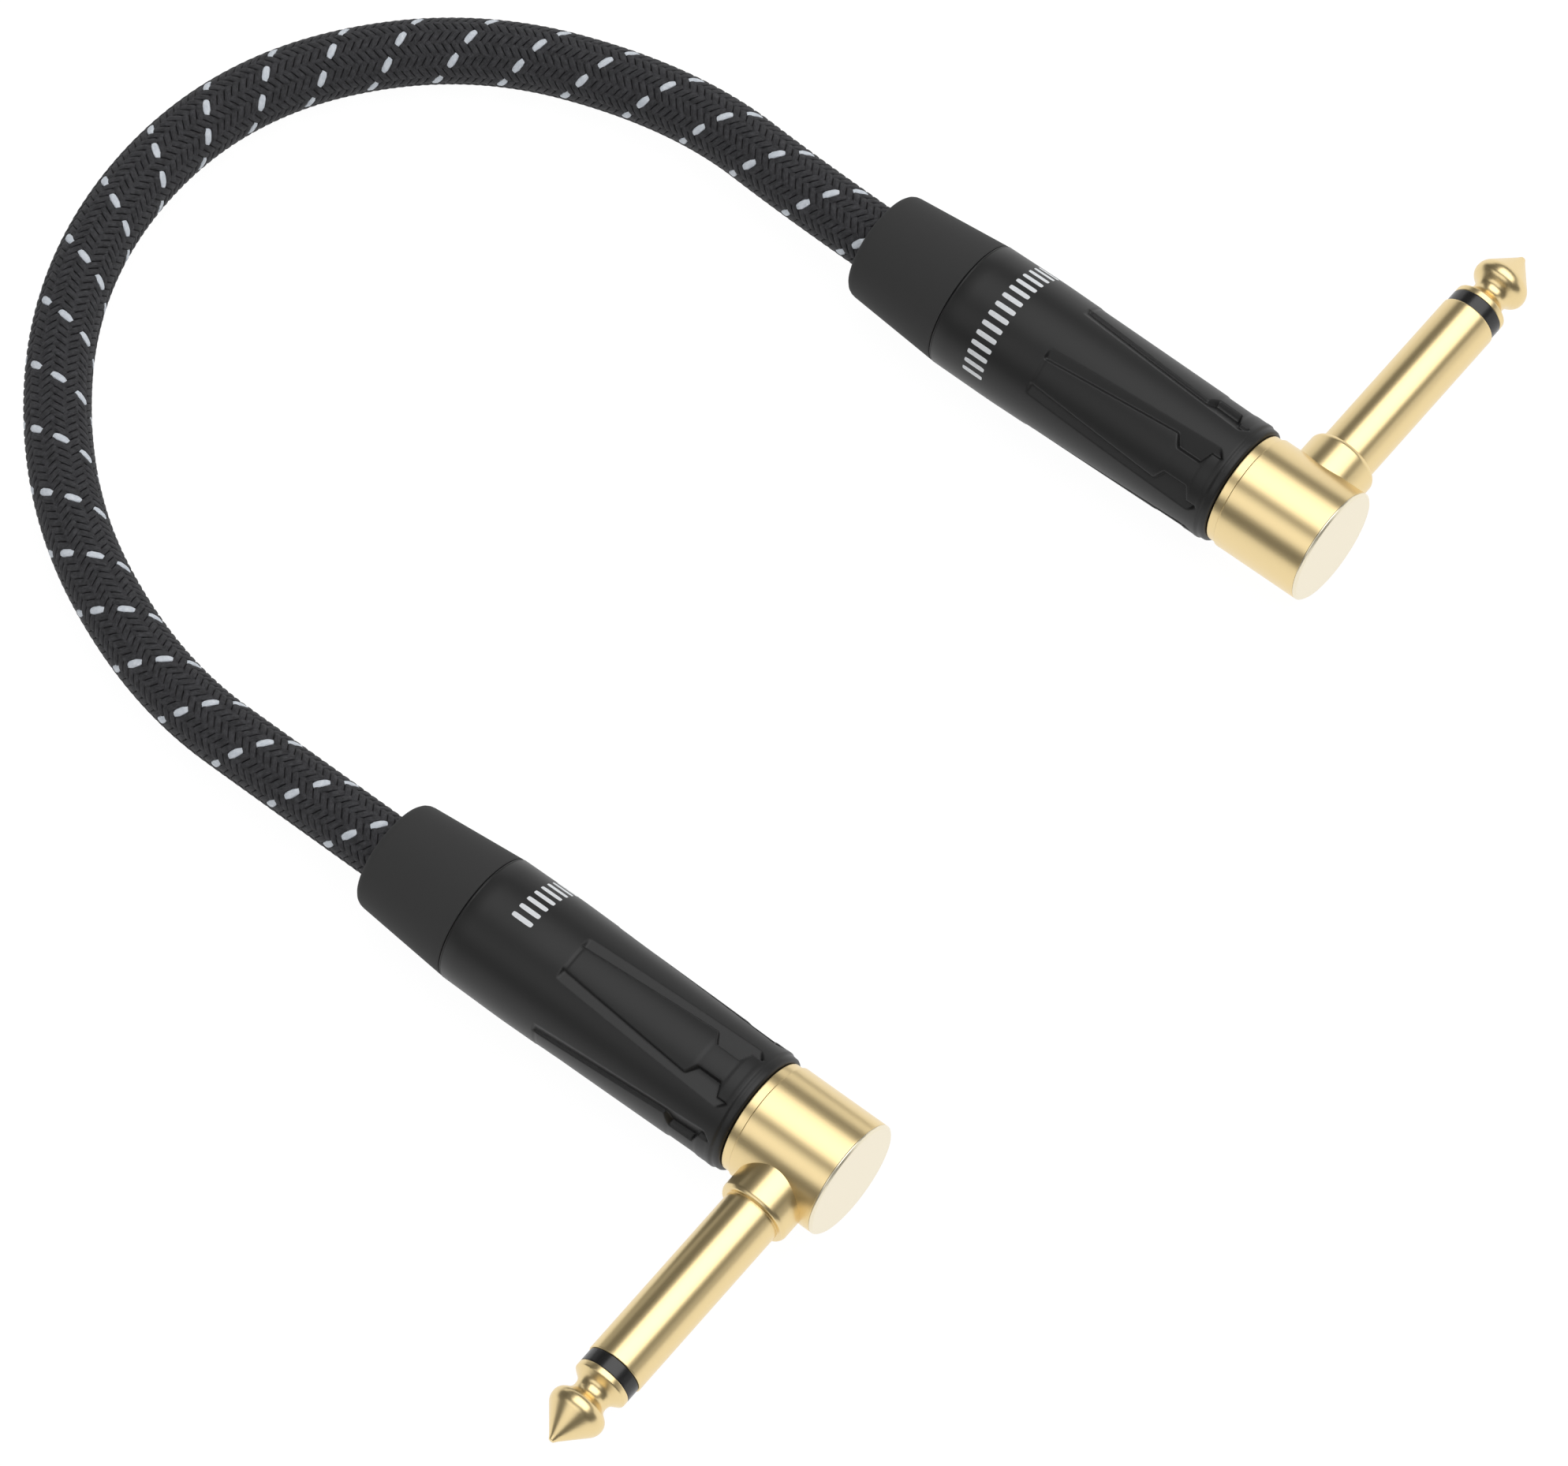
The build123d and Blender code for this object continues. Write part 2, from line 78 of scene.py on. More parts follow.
class Wire:
    """A shader socket, or a number, that arithmetic can be written on."""

    def __init__(self, graph: "Graph", socket: bpy.types.NodeSocket) -> None:
        """Hold a socket of a graph."""
        self.graph = graph
        self.socket = socket

    def _math(self, operation: str, *values: "Wire | float") -> "Wire":
        """Add a Math node to the graph and return its result."""
        return self.graph.node("ShaderNodeMath", {"operation": operation}, dict(enumerate(values)))

    def __add__(self, other: "Wire | float") -> "Wire":
        """Sum."""
        return self._math("ADD", self, other)

    def __radd__(self, other: float) -> "Wire":
        """Sum with a number on the left."""
        return self._math("ADD", other, self)

    def __sub__(self, other: "Wire | float") -> "Wire":
        """Difference."""
        return self._math("SUBTRACT", self, other)

    def __rsub__(self, other: float) -> "Wire":
        """Difference with a number on the left."""
        return self._math("SUBTRACT", other, self)

    def __mul__(self, other: "Wire | float") -> "Wire":
        """Product."""
        return self._math("MULTIPLY", self, other)

    def __rmul__(self, other: float) -> "Wire":
        """Product with a number on the left."""
        return self._math("MULTIPLY", other, self)

    def __truediv__(self, other: "Wire | float") -> "Wire":
        """Quotient."""
        return self._math("DIVIDE", self, other)

    def above(self, limit: float, soft: float) -> "Wire":
        """A mask that rises smoothly from 0 to 1 over the limit.

        Args:
            limit: the value at which the mask is one half.
            soft: the width of the rise.

        Returns:
            The mask.
        """
        settings = {"interpolation_type": "SMOOTHSTEP"}
        ends = {"Value": self, "From Min": limit - soft / 2, "From Max": limit + soft / 2}
        return self.graph.node("ShaderNodeMapRange", settings, ends, "Result")

    def between(self, low: float, high: float, soft: float) -> "Wire":
        """A mask that is 1 from low to high and 0 outside, with soft edges."""
        return self.above(low, soft) * (1 - self.above(high, soft))


class Graph:
    """One material's or world's node tree."""

    def __init__(self, tree: bpy.types.NodeTree) -> None:
        """Empty the tree and keep it."""
        self.tree = tree
        tree.nodes.clear()

    def node(self, kind: str, settings: dict, inputs: dict, output: str | int = 0) -> Wire:
        """Add a node.

        Args:
            kind: the node's type name.
            settings: properties of the node, set first; "ramp" holds a colour ramp's stops.
            inputs: values or wires, by socket name or number.
            output: the socket that is returned, by name or number.

        Returns:
            The asked output as a wire.
        """
        node = self.tree.nodes.new(kind)
        for name, value in settings.items():
            if name == "ramp":
                elements = node.color_ramp.elements
                while len(elements) < len(value):
                    elements.new(0.5)
                for element, (position, colour) in zip(elements, value):
                    element.position = position
                    element.color = (*colour, 1)
            else:
                setattr(node, name, value)
        for name, value in inputs.items():
            if isinstance(value, Wire):
                self.tree.links.new(value.socket, node.inputs[name])
            else:
                node.inputs[name].default_value = value
        return Wire(self, node.outputs[output])

    def object_point(self) -> Wire:
        """The surface point in the object's own metres."""
        return self.node("ShaderNodeTexCoord", {}, {}, "Object")

    def uv(self) -> Wire:
        """The piece's own UV map."""
        return self.node("ShaderNodeTexCoord", {}, {}, "UV")

    def stretched(self, vector: Wire, scale: tuple[float, float, float]) -> Wire:
        """A vector with each of its parts multiplied."""
        return self.node("ShaderNodeMapping", {}, {"Vector": vector, "Scale": scale})

    def noise(self, vector: Wire, scale: float, detail: float = 2.0, roughness: float = 0.5) -> Wire:
        """Smooth noise from 0 to 1."""
        inputs = {"Vector": vector, "Scale": scale, "Detail": detail, "Roughness": roughness}
        return self.node("ShaderNodeTexNoise", {}, inputs, 0)

    def mix(self, factor: Wire | float, first: tuple | Wire, second: tuple | Wire) -> Wire:
        """Blend two colours."""
        node = self.tree.nodes.new("ShaderNodeMix")
        node.data_type = "RGBA"
        for socket, value in zip((node.inputs[0], node.inputs[6], node.inputs[7]), (factor, first, second)):
            if isinstance(value, Wire):
                self.tree.links.new(value.socket, socket)
            else:
                socket.default_value = value if isinstance(value, (int, float)) else (*value, 1)
        return Wire(self, node.outputs[2])

    def bump(self, height: Wire, distance: float, strength: float = 1.0) -> Wire:
        """A normal from a height, where distance is the height in metres of a full step."""
        inputs = {"Height": height, "Distance": distance, "Strength": strength}
        return self.node("ShaderNodeBump", {}, inputs)

    def surface(self, **sockets: "Wire | float | tuple") -> None:
        """End the graph in a Principled shader whose sockets are given, with _ for a space."""
        inputs = {name.replace("_", " "): value for name, value in sockets.items()}
        for name in ("Base Color", "Sheen Tint", "Coat Tint", "Emission Color"):
            if isinstance(inputs.get(name), tuple):
                inputs[name] = (*inputs[name], 1)
        shader = self.node("ShaderNodeBsdfPrincipled", {}, inputs)
        output = self.tree.nodes.new("ShaderNodeOutputMaterial")
        self.tree.links.new(shader.socket, output.inputs["Surface"])


@dataclass(frozen=True)
class Finish:
    """What every finish has: a name and a way to become a material."""

    name: str

    def draw(self, graph: Graph) -> None:
        """Fill the graph with the finish's nodes."""
        raise NotImplementedError

    def material(self) -> bpy.types.Material:
        """The finish as a material, made once."""
        known = bpy.data.materials.get(self.name)
        if known:
            return known
        material = bpy.data.materials.new(self.name)
        material.use_nodes = True
        self.draw(Graph(material.node_tree))
        return material


@dataclass(frozen=True)
class Plating(Finish):
    """Polished or satin metal plating, slightly uneven as electroplated brass is."""

    colour: tuple[float, float, float] = (0.88, 0.69, 0.39)
    deep_colour: tuple[float, float, float] = (0.81, 0.61, 0.32)
    roughness: float = 0.035
    unevenness: float = 0.03
    ripple: float = 1.0e-6

    def draw(self, graph: Graph) -> None:
        """Colour and roughness drift slowly; a fine ripple frays the edges of reflections."""
        point = graph.object_point()
        drift = graph.noise(point, 260, 3)
        grain = graph.noise(point, 5200, 3, 0.65)
        graph.surface(
            Base_Color=graph.mix(drift, self.colour, self.deep_colour),
            Metallic=1.0,
            Roughness=grain * self.unevenness + self.roughness,
            Normal=graph.bump(grain, self.ripple),
        )


@dataclass(frozen=True)
class Lacquer(Finish):
    """Glossy black lacquer over cast metal, with a fine orange peel."""

    colour: tuple[float, float, float] = (0.0035, 0.0035, 0.004)
    roughness: float = 0.08

    def draw(self, graph: Graph) -> None:
        """Two sizes of soft noise make the orange peel."""
        point = graph.object_point()
        peel = graph.noise(point, 4200, 2, 0.6)
        dust = graph.noise(point, 900, 5, 0.7)
        graph.surface(
            Base_Color=graph.mix(dust, self.colour, (0.006, 0.006, 0.007)),
            Roughness=dust * 0.05 + self.roughness,
            Specular_IOR_Level=1.0,
            Normal=graph.bump(peel, 6e-6),
        )


@dataclass(frozen=True)
class SoftTouch(Finish):
    """Matte moulded rubber with a fine spark-eroded grain."""

    colour: tuple[float, float, float] = (0.012, 0.012, 0.0135)

    def draw(self, graph: Graph) -> None:
        """Grain in the bump, and a slow drift in the colour where hands have been."""
        point = graph.object_point()
        grain = graph.noise(point, 4200, 3, 0.7)
        drift = graph.noise(point, 220, 3)
        graph.surface(
            Base_Color=graph.mix(drift, self.colour, (0.018, 0.018, 0.0195)),
            Roughness=drift * 0.12 + 0.55,
            Specular_IOR_Level=0.35,
            Normal=graph.bump(grain, 2.5e-5, 0.55),
        )


@dataclass(frozen=True)
class Yarn(Finish):
    """Twisted textile yarn. The UV map runs along the yarn in u and across it in v, in millimetres."""

    dark: tuple[float, float, float] = (0.010, 0.010, 0.011)
    light: tuple[float, float, float] = (0.070, 0.070, 0.076)
    sheen: float = 0.0

    def draw(self, graph: Graph) -> None:
        """Fibres are noise drawn out along the yarn; stray tufts lighten it here and there."""
        uv = graph.uv()
        fibres = graph.noise(graph.stretched(uv, (1.6, 16, 1)), 1.0, 3, 0.7)
        tufts = graph.noise(graph.object_point(), 1500, 4, 0.75)
        shade = fibres * 0.7 + tufts * 0.5
        graph.surface(
            Base_Color=graph.mix(shade.above(0.62, 0.5), self.dark, self.light),
            Roughness=fibres * 0.2 + 0.6,
            Specular_IOR_Level=0.3,
            Sheen_Weight=self.sheen,
            Sheen_Roughness=0.5,
            Normal=graph.bump(fibres, 6e-5, 0.8),
        )


@dataclass(frozen=True)
class Moulded(Finish):
    """Plain moulded plastic, with small flow marks and handling scratches."""

    colour: tuple[float, float, float] = (0.5, 0.5, 0.5)
    wear: tuple[float, float, float] = (0.6, 0.6, 0.6)
    roughness: float = 0.4

    def draw(self, graph: Graph) -> None:
        """Sparse wear lightens the colour, and it is a little rougher there."""
        point = graph.object_point()
        wear = graph.noise(graph.stretched(point, (1, 1, 2.5)), 1400, 5, 0.75).above(0.62, 0.16)
        graph.surface(
            Base_Color=graph.mix(wear * 0.6, self.colour, self.wear),
            Roughness=wear * 0.15 + self.roughness,
            Normal=graph.bump(graph.noise(point, 2600, 3), 8e-6, 0.5),
        )


GOLD = Plating("gold_plating")
PALE_GOLD = Plating("pale_gold", (0.97, 0.84, 0.62), (0.93, 0.78, 0.54), 0.34, 0.08, 2.0e-6)
LACQUER = Lacquer("black_lacquer")
BOOT_RUBBER = SoftTouch("boot_rubber")
BLACK_YARN = Yarn("black_yarn")
TRACER_YARN = Yarn("tracer_yarn", (0.52, 0.57, 0.63), (0.80, 0.83, 0.87))
CORE_CLOTH = Yarn("core_cloth", (0.008, 0.008, 0.009), (0.018, 0.018, 0.019))
RING_PLASTIC = Moulded("black_insulator", (0.014, 0.014, 0.015), (0.10, 0.10, 0.10), 0.28)
CLEAR_PLASTIC = Moulded("clear_insulator", (0.78, 0.76, 0.70), (0.86, 0.84, 0.80), 0.4)
CHUCK_PLASTIC = Moulded("chuck_plastic", (0.55, 0.55, 0.53), (0.66, 0.66, 0.64), 0.5)
PRINT_INK = Moulded("print_ink", (0.74, 0.76, 0.78), (0.60, 0.62, 0.64), 0.45)
TERMINAL_BRASS = Plating("terminal_brass", (0.80, 0.62, 0.32), (0.66, 0.48, 0.24), 0.25, 0.12, 2.0e-6)
SOLDER = Plating("solder", (0.74, 0.74, 0.76), (0.60, 0.60, 0.63), 0.3, 0.2, 4.0e-6)


# ------------------------------------------------------------------ meshes


def surface_object(name: str, grid: np.ndarray, uv: np.ndarray, loop: bool) -> bpy.types.Object:
    """Make a closed mesh from a grid whose columns run round it.

    The faces join each point to its neighbours along the row and the column. The columns always
    close on themselves. The rows close on themselves too, or end in a flat face at each end.

    Args:
        name: the piece's name.
        grid: the points, rows by columns by 3, in metres.
        uv: the UV of each corner of the grid, (rows + 1) by (columns + 1) by 2.
        loop: whether the last row joins the first.

    Returns:
        The object, at the origin, with its faces pointing outwards.
    """
    return joined_surfaces(name, [grid], [uv], loop)


def joined_surfaces(
    name: str, grids: list[np.ndarray], uvs: list[np.ndarray], loop: bool
) -> bpy.types.Object:
    """Make one mesh from several grids of one kind. See surface_object for the arguments."""
    verts, quads, quad_uvs, ends, end_uvs = [], [], [], [], []
    base = 0
    for grid, uv in zip(grids, uvs):
        rows, columns = grid.shape[:2]
        spans = rows if loop else rows - 1
        row, column = np.meshgrid(np.arange(spans), np.arange(columns), indexing="ij")
        below, right = (row + 1) % rows, (column + 1) % columns
        here, under = row * columns, below * columns
        corners = np.stack([here + column, here + right, under + right, under + column], -1)
        uv_corners = np.stack(
            [uv[row, column], uv[row, column + 1], uv[row + 1, column + 1], uv[row + 1, column]], -2
        )
        points = grid.reshape(-1, 3)
        a, b, c, d = (points[corners[..., k].ravel()] for k in range(4))
        volume = np.einsum("ij,ij->", a - points[0], np.cross(b - points[0], c - points[0]))
        volume += np.einsum("ij,ij->", a - points[0], np.cross(c - points[0], d - points[0]))
        if volume < 0:
            corners, uv_corners = corners[..., ::-1], uv_corners[..., ::-1, :]
        flip = volume < 0
        verts.append(points)
        quads.append(corners.reshape(-1, 4) + base)
        quad_uvs.append(uv_corners.reshape(-1, 4, 2))
        if not loop:
            first = np.arange(columns)[:: 1 if flip else -1] + base
            last = (np.arange(columns) + (rows - 1) * columns)[:: -1 if flip else 1] + base
            ends += [first, last]
            end_uvs += [np.zeros((columns, 2)), np.zeros((columns, 2))]
        base += len(points)
    mesh = bpy.data.meshes.new(name)
    all_verts = np.concatenate(verts)
    all_quads = np.concatenate(quads)
    loops = np.concatenate([all_quads.ravel(), *ends])
    sizes = np.concatenate([np.full(len(all_quads), 4), np.array([len(end) for end in ends], dtype=int)])
    mesh.vertices.add(len(all_verts))
    mesh.vertices.foreach_set("co", all_verts.astype(np.float32).ravel())
    mesh.loops.add(len(loops))
    mesh.loops.foreach_set("vertex_index", loops.astype(np.int32))
    mesh.polygons.add(len(sizes))
    starts = np.concatenate([[0], np.cumsum(sizes)[:-1]])
    mesh.polygons.foreach_set("loop_start", starts.astype(np.int32))
    mesh.polygons.foreach_set("use_smooth", np.ones(len(sizes), dtype=bool))
    layer = mesh.uv_layers.new(name="UVMap")
    all_uvs = np.concatenate([np.concatenate(quad_uvs).reshape(-1, 2), *end_uvs])
    layer.data.foreach_set("uv", all_uvs.astype(np.float32).ravel())
    mesh.update(calc_edges=True)
    mesh.validate()
    piece = bpy.data.objects.new(name, mesh)
    bpy.context.scene.collection.objects.link(piece)
    return piece


def rounded(corners: list[tuple[float, float, float]], steps: int = 5, support: float = 0.12) -> np.ndarray:
    """An outline with its corners rounded.

    Each corner becomes the curve (1-t)^2 a + 2t(1-t) c + t^2 b, where c is the corner and a and b lie
    on its two sides at the corner's radius. One more point beyond a and b keeps the shading flat.

    Args:
        corners: along, out and radius of each corner, in millimetres; radius 0 leaves it sharp.
        steps: the number of spans of each round.
        support: how far beyond the round the extra point lies.

    Returns:
        The closed outline's points, as rows of along and out.
    """
    points = np.array(corners)[:, :2]
    rows = []
    t = np.linspace(0, 1, steps + 1)[:, None]
    for index, (_, _, radius) in enumerate(corners):
        corner = points[index]
        before = points[index - 1] - corner
        after = points[(index + 1) % len(points)] - corner
        reach = min(np.linalg.norm(before), np.linalg.norm(after)) * 0.48
        if radius == 0:
            rows.append(corner[None])
            continue
        cut = min(radius, reach)
        extra = min(cut + support, reach)
        before = before / np.linalg.norm(before)
        after = after / np.linalg.norm(after)
        a, b = corner + before * cut, corner + after * cut
        rows += [(corner + before * extra)[None], (1 - t) ** 2 * a + 2 * t * (1 - t) * corner + t**2 * b]
        rows.append((corner + after * extra)[None])
    outline = np.concatenate(rows)
    keep = np.linalg.norm(np.roll(outline, -1, axis=0) - outline, axis=1) > 1e-5
    return outline[keep]


def grid_uv(grid: np.ndarray) -> np.ndarray:
    """A UV map for a grid: rows along v and columns along u, one unit over the whole piece."""
    rows, columns = grid.shape[:2]
    u, v = np.meshgrid(np.linspace(0, 1, columns + 1), np.linspace(0, 1, rows + 1))
    return np.stack([u, v], -1)


# ------------------------------------------------------------------ the plugs


class PlugSide(Enum):
    """Which way a plug is turned over: the sign of its pin along Y."""

    A = -1
    B = 1


@dataclass
class PlugPlace:
    """Where one plug lies in the row frame."""

    side: PlugSide
    origin: np.ndarray = field(init=False)

    def __post_init__(self) -> None:
        """Read the crossing of the two axes off the head's and the sleeve's boxes."""
        head_low, head_high = (np.array(corner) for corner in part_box(self.node("head")))
        pin_low, pin_high = (np.array(corner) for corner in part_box(self.node("sleeve")))
        head, pin = (head_low + head_high) / 2, (pin_low + pin_high) / 2
        self.origin = np.round(np.array([pin[0], head[1], head[2]]) / GRID) * GRID

    @property
    def letter(self) -> str:
        """The plug's letter in the names of its nodes and bodies."""
        return self.side.name.lower()

    def node(self, piece: str) -> str:
        """The name of one of the plug's CAD nodes."""
        return f"plug_{self.letter}_{piece}"

    def to_row(self, local: np.ndarray) -> np.ndarray:
        """Turn points of the plug's own millimetres into the row frame's metres."""
        return self.origin + local * MM * np.array([1, self.side.value, self.side.value])

    def about_body(self, along: np.ndarray, out: np.ndarray, angle: np.ndarray) -> np.ndarray:
        """Points about the body axis, in the row frame.

        Args:
            along: x in the plug's millimetres.
            out: distance from the body axis, in millimetres.
            angle: turn about the axis in radians, from straight up towards +Y of the row.

        Returns:
            The points in metres.
        """
        offset = np.stack([along + 0 * angle, out * np.sin(angle), out * np.cos(angle)], -1)
        return self.origin + offset * MM

    def about_pin(self, along: np.ndarray, out: np.ndarray, angle: np.ndarray) -> np.ndarray:
        """Points about the pin axis, where along is the distance from the body axis."""
        reach = self.side.value * (along + 0 * angle)
        offset = np.stack([out * np.sin(angle), reach, out * np.cos(angle)], -1)
        return self.origin + offset * MM


@dataclass
class TurnedPiece:
    """A lathe-turned or moulded piece: a closed outline carried round an axis."""

    name: str
    corners: list[tuple[float, float, float]]
    finish: Finish
    slot: str
    on_pin: bool = False
    hollow: bool = True
    segments: int = 144

    def build(self, place: PlugPlace, body: str) -> bpy.types.Object:
        """Revolve the outline: each point keeps its place along the axis and runs round a circle.

        A hollow piece's outline joins up with itself. A solid piece's starts and ends close to the
        axis, and each end is closed by a flat face.

        Args:
            place: the plug that the piece belongs to.
            body: the CAD body that it rides on.

        Returns:
            The piece.
        """
        outline = rounded(self.corners)
        angle = np.linspace(0, 2 * np.pi, self.segments, endpoint=False)[None]
        spin = place.about_pin if self.on_pin else place.about_body
        grid = spin(outline[:, :1], outline[:, 1:], angle)
        node = place.node(self.name)
        piece = surface_object(f"{node}_surface", grid, grid_uv(grid), self.hollow)
        piece.data.materials.append(self.finish.material())
        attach(piece, body)
        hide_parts(node)
        LOG.info("made %s", piece.name)
        return piece


@dataclass
class Pin:
    """The quarter inch pin: collar and sleeve, insulating ring, and tip."""

    sleeve_r: float = 3.175
    collar_r: float = 3.95
    bore_r: float = 1.95
    inner_end: float = 5.0
    collar_end: float = 9.0
    sleeve_end: float = 30.35
    tip_start: float = 31.95
    tip_end: float = 40.1
    ring_r: float = 3.04
    neck_r: float = 1.95
    ball_r: float = 3.1
    rod_r: float = 1.0
    rod_end: float = 0.65

    def sleeve(self) -> TurnedPiece:
        """Sleeve and collar, turned in one piece, with a fine step at the collar's foot."""
        corners = [
            (self.inner_end, self.bore_r, 0.05),
            (self.inner_end, self.collar_r, 0.05),
            (self.collar_end - 0.35, self.collar_r, 0.25),
            (self.collar_end, self.collar_r - 0.22, 0.12),
            (self.collar_end + 0.03, self.sleeve_r, 0.04),
            (self.sleeve_end, self.sleeve_r, 0.1),
            (self.sleeve_end, self.bore_r, 0.05),
        ]
        return TurnedPiece("sleeve", corners, GOLD, "gold_plating", True)

    def ring(self) -> TurnedPiece:
        """The black ring between sleeve and tip."""
        low, high = self.sleeve_end + HAIR, self.tip_start - HAIR
        bore = self.rod_r + 0.03
        corners = [(low, bore, 0.05), (low, self.ring_r, 0.08), (high, self.ring_r, 0.08), (high, bore, 0.05)]
        return TurnedPiece("tip_insulator", corners, RING_PLASTIC, "black_insulator", True)

    def tip(self) -> TurnedPiece:
        """The tip: flange, concave neck, ball and blunt cone, with its rod."""
        start, ring = self.tip_start, self.ring_r
        corners = [
            (self.rod_end, CORE, 0),
            (self.rod_end, self.rod_r, 0.05),
            (start, self.rod_r, 0.05),
            (start, ring, 0.08),
            (start + 0.65, ring, 0.1),
            (start + 1.5, self.neck_r, 0.8),
            (start + 2.65, self.neck_r, 0.6),
            (start + 3.55, self.ball_r, 0.7),
            (start + 4.65, self.ball_r, 0.6),
            (self.tip_end - 0.35, 0.5, 0.3),
            (self.tip_end, 0.28, 0.14),
            (self.tip_end, CORE, 0),
        ]
        return TurnedPiece("tip", corners, GOLD, "gold_plating", True, False)


@dataclass
class Head:
    """The elbow that joins pin and shell, and its pressed-in end cap."""

    radius: float = 6.45
    shoulder_r: float = 6.25
    shoulder_at: float = -5.0
    shoulder_end: float = -6.05
    neck_r: float = 4.6
    neck_end: float = -13.0
    front: float = 5.05
    cap_front: float = 5.4
    bore_r: float = 5.0
    neck_bore_r: float = 3.6
    floor: float = -4.0

    def elbow(self) -> TurnedPiece:
        """The turned elbow body, without its side hole, which the pin's collar fills."""
        corners = [
            (self.neck_end, self.neck_bore_r, 0.05),
            (self.neck_end, self.neck_r, 0.2),
            (self.shoulder_end, self.neck_r, 0.05),
            (self.shoulder_end, self.shoulder_r, 0.1),
            (self.shoulder_at - 0.06, self.shoulder_r, 0.03),
            (self.shoulder_at - 0.04, self.shoulder_r - 0.12, 0.03),
            (self.shoulder_at, self.radius, 0.08),
            (self.front, self.radius, 0.04),
            (self.front, self.bore_r, 0.05),
            (self.floor, self.bore_r, 0.05),
            (self.floor, self.neck_bore_r, 0.05),
        ]
        return TurnedPiece("head", corners, GOLD, "gold_plating")

    def cap(self) -> TurnedPiece:
        """The end disc with its bevelled edge and the spigot that is pressed into the elbow."""
        corners = [
            (3.9, CORE, 0),
            (3.9, self.bore_r - 0.03, 0.1),
            (self.front + HAIR, self.bore_r - 0.03, 0.03),
            (self.front + HAIR, self.radius, 0.03),
            (self.cap_front - 0.2, self.radius, 0.05),
            (self.cap_front, self.radius - 0.24, 0.06),
            (self.cap_front, CORE, 0),
        ]
        return TurnedPiece("end_cap", corners, PALE_GOLD, "pale_gold", False, False)


@dataclass
class Boot:
    """The soft tail behind the shell."""

    front: float = -41.48
    front_r: float = 7.09
    back: float = -53.3
    back_r: float = 6.08
    bore_r: float = 3.85
    spigot_front: float = -38.9
    spigot_r: float = 5.0

    def tail(self) -> TurnedPiece:
        """A cone that swells towards the shell, with a well rounded mouth."""
        corners = [
            (self.back, self.bore_r, 0.35),
            (self.spigot_front, self.bore_r, 0.1),
            (self.spigot_front, self.spigot_r, 0.1),
            (self.front, self.spigot_r, 0.05),
            (self.front, self.front_r, 0.14),
            (self.back, self.back_r, 1.3),
        ]
        return TurnedPiece("boot", corners, BOOT_RUBBER, "boot_rubber")


